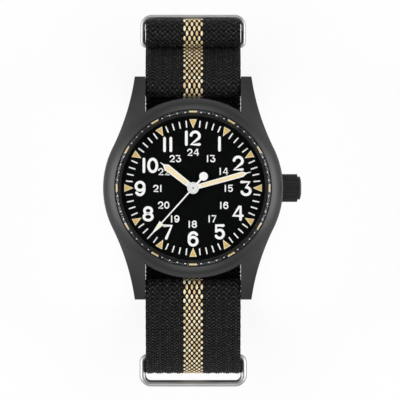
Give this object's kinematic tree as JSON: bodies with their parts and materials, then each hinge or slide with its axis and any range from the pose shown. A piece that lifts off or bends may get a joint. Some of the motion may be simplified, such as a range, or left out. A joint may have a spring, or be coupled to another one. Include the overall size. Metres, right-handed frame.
{
  "type": "field watch",
  "caption": "Round analogue wristwatch with long lugs, luminous dial with numerals, knurled crown and a buckled pass-through webbing strap with metal keeper rings.",
  "frame": {"origin": "on the flat outer face of the strap's lowest run, straight below the hands' axis", "axes": "+Z out of the dial along the hands' axis, +Y to 12 o'clock, +X to 3 o'clock and the crown"},
  "size_m": [0.0418, 0.0796, 0.0549],
  "materials": {
    "black_case": "satin",
    "crystal": "gloss",
    "seal_rubber": "matte",
    "dial_black": "matte",
    "hand_white": "satin",
    "cream_lume": "matte",
    "green_lume": "matte",
    "brass": "satin",
    "steel": "satin",
    "ring_steel": "polished",
    "white_plastic": "matte",
    "board_green": "satin",
    "copper": "satin",
    "webbing": "matte",
    "stripe_thread": "satin",
    "dial_print": "matte",
    "marker_gold": "matte"
  },
  "bodies": {
    "watch": {"case_middle": "black_case", "case_back": "black_case", "case_back_gasket": "seal_rubber", "crystal_gasket": "seal_rubber", "crystal": "crystal", "dial_flange": "dial_black", "dial": "dial_black", "movement_holder": "white_plastic", "crown_tube": "steel", "main_plate": "brass", "train_bridge": "steel", "movement_screws": "steel", "stator": "steel", "coil": "copper", "circuit_board": "board_green", "quartz_can": "steel", "battery": "steel", "battery_clamp": "steel", "minute_wheel_post": "steel", "long_strap": "webbing", "short_strap": "webbing", "keeper_tab_upper": "webbing", "keeper_tab_lower": "webbing", "spring_bar_tube_twelve": "steel", "spring_bar_spring_twelve": "steel", "spring_bar_tube_six": "steel", "spring_bar_spring_six": "steel"},
    "seconds": {"fourth_wheel": "brass", "seconds_hand": "hand_white", "seconds_hand_lume": "green_lume"},
    "minutes": {"center_wheel": "brass", "minute_hand": "hand_white", "minute_hand_lume": "cream_lume"},
    "hours": {"hour_wheel": "brass", "hour_hand": "hand_white", "hour_hand_lume": "cream_lume"},
    "third": {"third_wheel": "brass"},
    "fifth": {"fifth_wheel": "white_plastic"},
    "rotor": {"rotor": "steel"},
    "minute_work": {"minute_wheel": "brass"},
    "setting_gear": {"setting_wheel": "steel"},
    "crown_seal": {"crown_gasket": "seal_rubber"},
    "crown": {"crown": "black_case", "crown_stem": "steel"},
    "clutch": {"clutch_wheel": "steel"},
    "setting_lever": {"setting_lever": "steel"},
    "yoke": {"yoke": "steel"},
    "buckle": {"buckle_frame": "ring_steel"},
    "tongue": {"buckle_tongue": "ring_steel"},
    "upper_keeper": {"keeper_ring_upper": "ring_steel"},
    "lower_keeper": {"keeper_ring_lower": "ring_steel"},
    "strap_ring": {"strap_ring": "ring_steel"},
    "pin_twelve_left": {"spring_bar_pin_twelve_left": "steel"},
    "pin_twelve_right": {"spring_bar_pin_twelve_right": "steel"},
    "pin_six_left": {"spring_bar_pin_six_left": "steel"},
    "pin_six_right": {"spring_bar_pin_six_right": "steel"}
  },
  "joints": [
    {"name": "seconds_spin", "type": "hinge", "parent": "watch", "child": "seconds", "pos_m": [0, 0, 0.0506], "axis": [0, 0, -1], "continuous": true},
    {"name": "minutes_spin", "type": "hinge", "parent": "watch", "child": "minutes", "pos_m": [0, 0, 0.0506], "axis": [0, 0, -1], "continuous": true},
    {"name": "hours_spin", "type": "hinge", "parent": "watch", "child": "hours", "pos_m": [0, 0, 0.0506], "axis": [0, 0, -1], "continuous": true},
    {"name": "third_spin", "type": "hinge", "parent": "watch", "child": "third", "pos_m": [-0.00059, 0.00335, 0.0506], "axis": [0, 0, -1], "continuous": true},
    {"name": "fifth_spin", "type": "hinge", "parent": "watch", "child": "fifth", "pos_m": [-0.00167, -0.00199, 0.0506], "axis": [0, 0, -1], "continuous": true},
    {"name": "rotor_spin", "type": "hinge", "parent": "watch", "child": "rotor", "pos_m": [-0.00364, -0.00271, 0.0506], "axis": [0, 0, -1], "continuous": true},
    {"name": "minute_work_spin", "type": "hinge", "parent": "watch", "child": "minute_work", "pos_m": [0.00184, -0.00154, 0.0506], "axis": [0, 0, -1], "continuous": true},
    {"name": "setting_gear_spin", "type": "hinge", "parent": "watch", "child": "setting_gear", "pos_m": [0.00473, -0.00129, 0.0506], "axis": [0, 0, -1], "continuous": true},
    {"name": "crown_pull", "type": "slide", "parent": "watch", "child": "crown_seal", "axis": [1, 0, 0], "range_m": [0, 0.001]},
    {"name": "crown_turn", "type": "hinge", "parent": "crown_seal", "child": "crown", "pos_m": [0.02, 0, 0.0496], "axis": [1, 0, 0], "continuous": true},
    {"name": "clutch_slide", "type": "slide", "parent": "crown", "child": "clutch", "axis": [1, 0, 0], "range_m": [-0.0014, 0]},
    {"name": "setting_lever_turn", "type": "hinge", "parent": "watch", "child": "setting_lever", "pos_m": [0.00965, 0.0032, 0.0507], "axis": [0, 0, 1], "range_deg": [0, 17.92]},
    {"name": "yoke_turn", "type": "hinge", "parent": "watch", "child": "yoke", "pos_m": [0.0062, 0.0062, 0.0507], "axis": [0, 0, 1], "range_deg": [-3.83, 0]},
    {"name": "buckle_swing", "type": "hinge", "parent": "watch", "child": "buckle", "pos_m": [0, -0.006, 0.0033], "axis": [1, 0, 0], "range_deg": [-0.6, 0.6]},
    {"name": "tongue_swing", "type": "hinge", "parent": "buckle", "child": "tongue", "pos_m": [0, -0.006, 0.0033], "axis": [1, 0, 0], "range_deg": [-0.7, 0]},
    {"name": "upper_keeper_swing", "type": "hinge", "parent": "watch", "child": "upper_keeper", "pos_m": [0, 0.0305, 0.028], "axis": [1, 0, 0], "range_deg": [-5, 5]},
    {"name": "lower_keeper_swing", "type": "hinge", "parent": "watch", "child": "lower_keeper", "pos_m": [0, 0.02065, 0.00611], "axis": [1, 0, 0], "range_deg": [-5, 5]},
    {"name": "strap_ring_swing", "type": "hinge", "parent": "watch", "child": "strap_ring", "pos_m": [0, -0.03611, 0.02722], "axis": [1, 0, 0], "range_deg": [-8, 8]},
    {"name": "pin_twelve_left_push", "type": "slide", "parent": "watch", "child": "pin_twelve_left", "axis": [1, 0, 0], "range_m": [0, 0.001], "stiffness_N_per_m": 200, "springref_m": -0.001},
    {"name": "pin_twelve_right_push", "type": "slide", "parent": "watch", "child": "pin_twelve_right", "axis": [-1, 0, 0], "range_m": [0, 0.001], "stiffness_N_per_m": 200, "springref_m": -0.001},
    {"name": "pin_six_left_push", "type": "slide", "parent": "watch", "child": "pin_six_left", "axis": [1, 0, 0], "range_m": [0, 0.001], "stiffness_N_per_m": 200, "springref_m": -0.001},
    {"name": "pin_six_right_push", "type": "slide", "parent": "watch", "child": "pin_six_right", "axis": [-1, 0, 0], "range_m": [0, 0.001], "stiffness_N_per_m": 200, "springref_m": -0.001}
  ],
  "couplings": [
    {"joint": "minutes_spin", "follows": "seconds_spin", "ratio": 0.016667},
    {"joint": "hours_spin", "follows": "seconds_spin", "ratio": 0.0013889},
    {"joint": "third_spin", "follows": "seconds_spin", "ratio": -0.125},
    {"joint": "fifth_spin", "follows": "seconds_spin", "ratio": -5},
    {"joint": "rotor_spin", "follows": "seconds_spin", "ratio": 30},
    {"joint": "minute_work_spin", "follows": "seconds_spin", "ratio": -0.0055556},
    {"joint": "setting_gear_spin", "follows": "seconds_spin", "ratio": 0.0092593},
    {"joint": "clutch_slide", "follows": "crown_pull", "ratio": -1.4},
    {"joint": "setting_lever_turn", "follows": "crown_pull", "rad_per_m": 312.5},
    {"joint": "yoke_turn", "follows": "crown_pull", "rad_per_m": -66.667}
  ]
}
